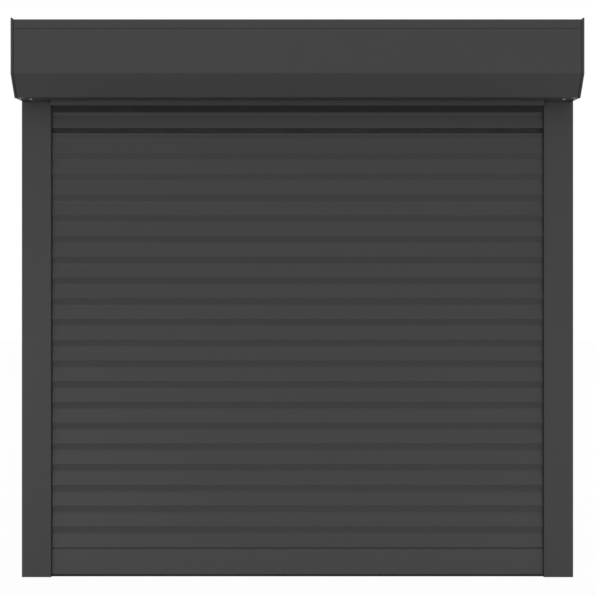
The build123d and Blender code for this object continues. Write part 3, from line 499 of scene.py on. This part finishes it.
def moulded_plastic(name, colour, roughness):
    """Injection-moulded plastic: an eroded grain, flow clouds, and paler rubbed spots."""
    material = bpy.data.materials.new(name)
    finish = Finish(material)
    place = finish.node("ShaderNodeTexCoord", output="Object")
    flow = noise(finish, place, 25.0, 4.0)
    grain = noise(finish, place, 1800.0, 3.0)
    rubbed = step(finish, noise(finish, place, 90.0, 5.0), 0.6, 0.75)
    base = mixed(finish, flow * 0.7 + grain * 0.3, shaded(colour, 0.78), shaded(colour, 1.22))
    shader(
        finish, Base_Color=mixed(finish, rubbed * 0.35, base, shaded(colour, 1.7)),
        Roughness=flow * 0.12 + grain * 0.1 + (roughness - 0.11), Specular_IOR_Level=0.4,
        Normal=bumps(finish, grain, 0.04 * mm))
    return material


ring_steel = turned_steel("ground_bearing_steel", (0.56, 0.56, 0.56), 0.3)
ball_steel = turned_steel("polished_ball_steel", (0.66, 0.66, 0.67), 0.14, ring_depth=0.002)
grey_plastic = moulded_plastic("grey_glass_filled_plastic", (0.22, 0.22, 0.23), 0.55)
dress(ring_steel, "bearing_outer_ring", "bearing_inner_ring")
dress(ball_steel, "bearing_balls")
dress(zinc_plate, "bearing_pin")
dress(grey_plastic, "tube_end_capsule")

# Motor: a tubular motor in a steel sleeve, with a plastic head that a locking clip holds in the
# right bracket. Inside are the motor and its gearbox, whose shaft turns the tube by a wheel.
black_plastic = moulded_plastic("black_moulded_plastic", (0.022, 0.022, 0.023), 0.5)


def sprung_steel(name, colour):
    """Hardened strip: blue-grey, with straw and blue heat tints in bands and rolled lines."""
    material = bpy.data.materials.new(name)
    finish = Finish(material)
    place = finish.node("ShaderNodeTexCoord", output="Object")
    heat = noise(finish, place, 70.0, 3.0)
    rolled = noise(finish, stretched(finish, place, (1.0, 0.05, 0.05)), 1600.0)
    cold = mixed(finish, heat, shaded(colour, 0.8), (0.2, 0.22, 0.29))
    tinted = mixed(finish, step(finish, heat, 0.52, 0.72), cold, (0.33, 0.26, 0.18))
    shader(
        finish, Metallic=1.0, Base_Color=tinted, Roughness=heat * 0.15 + rolled * 0.12 + 0.24,
        Normal=bumps(finish, rolled, 0.015 * mm))
    return material


spring_steel = sprung_steel("blued_spring_steel", (0.25, 0.26, 0.29))
machine_steel = turned_steel("machined_steel", (0.46, 0.46, 0.46), 0.36)
dress(plated_steel("galvanised_motor_sleeve", (0.5, 0.51, 0.52), 0.3), "motor_housing")
dress(machine_steel, "electric_motor", "gearbox", "output_shaft")
dress(black_plastic, "motor_head")
dress(grey_plastic, "motor_crown", "drive_wheel")
dress(spring_steel, "motor_locking_clip")

# Roller tube: an eight-sided tube rolled from hot-dipped steel strip, which shows its crystals. The
# curtain hangs from it by strips of spring steel in plastic clips.
tube_zinc = plated_steel("hot_dipped_tube", (0.55, 0.56, 0.58), 0.36, spangle=0.45)
dress(tube_zinc, "roller_tube")
dress(grey_plastic, "hanger_clips")
dress(spring_steel, "curtain_hangers")

# Slats: hollow profiles of painted aluminium, cut to length. Each one's hook hangs in the socket of
# the slat above it. One is modelled and copied, and every copy rides on its own body.
edge_break = 0.25 * mm
slat_grey = (0.0425, 0.0425, 0.0425)
lengthwise = (0.01, 1.0, 1.0)
line_share = 0.4
slat_underside_shade = 0.8
paler_below_height = 0.6
socket_depth = 3.2 * mm
hook_depth = 1.0 * mm


def joined_copy(node_name, piece_name):
    """A new piece with a CAD solid's shape, its loose triangles joined into whole faces."""
    piece = bpy.data.objects.new(piece_name, nodes[node_name].data.copy())
    bpy.context.scene.collection.objects.link(piece)
    only(piece)
    bpy.ops.mesh.customdata_custom_splitnormals_clear()
    bpy.ops.object.mode_set(mode="EDIT")
    bpy.ops.mesh.select_all(action="SELECT")
    bpy.ops.mesh.remove_doubles(threshold=0.01 * mm)
    bpy.ops.mesh.dissolve_limited(angle_limit=math.radians(0.5))
    bpy.ops.object.mode_set(mode="OBJECT")
    return piece


def break_edges(piece, width):
    """Rounds a piece's sharp edges a little, as paint and handling do."""
    rounding = piece.modifiers.new("edge_break", "BEVEL")
    rounding.width = width
    rounding.segments = 2
    rounding.limit_method = "ANGLE"
    rounding.angle_limit = math.radians(40.0)
    bpy.ops.object.modifier_apply(modifier=rounding.name)
    bpy.ops.object.shade_smooth_by_angle(angle=math.radians(35.0))
    flat_faces = piece.modifiers.new("flat_faces", "WEIGHTED_NORMAL")
    flat_faces.keep_sharp = True
    bpy.ops.object.modifier_apply(modifier=flat_faces.name)


slat_names = sorted(name for name in nodes if name.startswith("slat_"))
slat_low, slat_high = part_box(slat_names[0])
joint_depths = (slat_low[1] + socket_depth, slat_high[1] - hook_depth)
# The slat coat paints shade into the joints' recess and onto the facets that face downwards.
slat_coat = coat(
    "slat_coil_coat", slat_grey, coat_roughness, lengthwise, line_share,
    underside_shade=slat_underside_shade, shaded_depths=joint_depths, paler_below=paler_below_height)
pattern_slat = joined_copy(slat_names[0], f"{slat_names[0]}_profile")
break_edges(pattern_slat, edge_break)
slats = [pattern_slat]
for name in slat_names[1:]:
    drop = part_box(name)[0][2] - slat_low[2]
    slats.append(placed_copy(pattern_slat, f"{name}_profile", (0.0, 0.0, drop)))
for name, slat in zip(slat_names, slats):
    join_frame(slat, slat_coat, name, name)

# Bottom bar: a heavier hollow profile of the same aluminium, which weighs the curtain down. A rubber
# foot in its lower channel closes it to the sill, and plastic caps close its ends.
# Its grey is a paler copy of the slats' grey, and paler still below a height: both are painted light.
bar_lit_grey = (0.047, 0.047, 0.047)
bar_coat = coat(
    "bar_coil_coat", bar_lit_grey, coat_roughness, lengthwise, line_share, paler_below=paler_below_height)
bar = joined_copy("bottom_bar", "bottom_bar_profile")
break_edges(bar, edge_break)
join_frame(bar, bar_coat, "bottom_bar", "bottom_bar")


def rubber(name, colour, roughness):
    """Extruded rubber: matt, with lengthwise lines, pores, and a grey bloom here and there."""
    material = bpy.data.materials.new(name)
    finish = Finish(material)
    place = finish.node("ShaderNodeTexCoord", output="Object")
    bloom = noise(finish, place, 30.0, 5.0)
    pores = noise(finish, place, 2200.0)
    base = mixed(finish, bloom, shaded(colour, 0.75), shaded(colour, 1.25))
    shader(
        finish, Base_Color=mixed(finish, step(finish, bloom, 0.55, 0.8) * 0.3, base, shaded(colour, 2.0)),
        Roughness=bloom * 0.12 + pores * 0.08 + (roughness - 0.1), Specular_IOR_Level=0.2,
        Normal=bumps(finish, pores, 0.05 * mm))
    return material


foot_rubber = rubber("foot_rubber", (0.018, 0.018, 0.018), 0.85)
dress(foot_rubber, "bottom_bar_seal")
dress(black_plastic, "bottom_bar_end_caps")

# Guide rails: extruded aluminium, screwed to the reveal through their inner webs. Rubber strips in
# both lips of each channel keep the slats quiet, and funnels on top lead the slats in.
rail_shade = 0.95
rail_line_share = 0.35
upright = (1.0, 1.0, 0.01)
rail_shadow_depth = 2.5 * mm
rail_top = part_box("left_guide_rail")[1][2]
rail_ends = (rail_top, rail_top - rail_shadow_depth)
# The rail coat is painted darker at its top, as the shadow under the casing, and paler below, as painted
# light.
rail_coat = coat(
    "rail_powder_coat", shaded(slat_grey, rail_shade), coat_roughness, upright, rail_line_share,
    shadow_heights=rail_ends, paler_below=paler_below_height)
strip_rubber = rubber("strip_rubber", (0.02, 0.02, 0.02), 0.85)
for side in ("left", "right"):
    rail = joined_copy(f"{side}_guide_rail", f"{side}_guide_rail_profile")
    break_edges(rail, edge_break)
    join_frame(rail, rail_coat, "casing_and_rails", f"{side}_guide_rail")
    dress(strip_rubber, f"{side}_rail_seals")
    dress(black_plastic, f"{side}_inlet_funnel")

# Front cover: one sheet bent to the casing's front, slope and underside, with a hem along the curtain's
# outlet. Four screws hold it from below, so that it comes off for a look inside.
shadow_full_below = 2.5 * mm
shadow_ends_above = 4.5 * mm
cover_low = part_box("front_cover")[0]
hem_heights = (cover_low[2] - shadow_full_below, cover_low[2] + shadow_ends_above)
# The cover's coat is painted darker along the hem's lowest edge, as the shade under the casing.
dress(coat("front_cover_coat", casing_grey, coat_roughness, shadow_heights=hem_heights), "front_cover")
outlet_rubber = rubber("outlet_rubber", (0.019, 0.019, 0.019), 0.85)
dress(outlet_rubber, "outlet_seal")

# Cover screws: four pan-head screws of weathered steel with cross recesses, driven up into the end
# plates, two in each.
cover_head_radius = 3.25 * mm
cover_head_height = 2.2 * mm
cover_shank_radius = 1.7 * mm
cover_shank_length = 8.0 * mm
inner_screw_from_end = 24.3 * mm
first_turn, further_turn = 20.0, 50.0
weathered_steel = turned_steel("dulled_screw_steel", (0.2, 0.2, 0.2), 0.45)
pattern_screw = cross_head_screw(
    "pattern_screw", cover_head_radius, cover_head_height, cover_shank_radius, cover_shank_length)
screws_low, screws_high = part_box("cover_screws")
under_panel = screws_low[2] + cover_head_height
outer_screw = (screws_high[0] - cover_head_radius, screws_low[1] + cover_head_radius)
inner_screw = (cad_high[0] - inner_screw_from_end, screws_high[1] - cover_head_radius)
for side, sign in (("left", -1), ("right", 1)):
    for number, (x, y) in enumerate((outer_screw, inner_screw)):
        screw = placed_copy(
            pattern_screw, f"{side}_cover_screw_{number + 1}", (sign * x, y, under_panel),
            (0.0, 0.0, math.radians(first_turn + further_turn * number * sign)))
        join_frame(screw, weathered_steel, "casing_and_rails", "cover_screws")
bpy.data.objects.remove(pattern_screw)

# Cable gland: a rubber grommet in the rear panel, through which the motor's cable goes to the wall.
gland_rubber = rubber("gland_rubber", (0.018, 0.018, 0.018), 0.8)
dress(gland_rubber, "cable_gland")
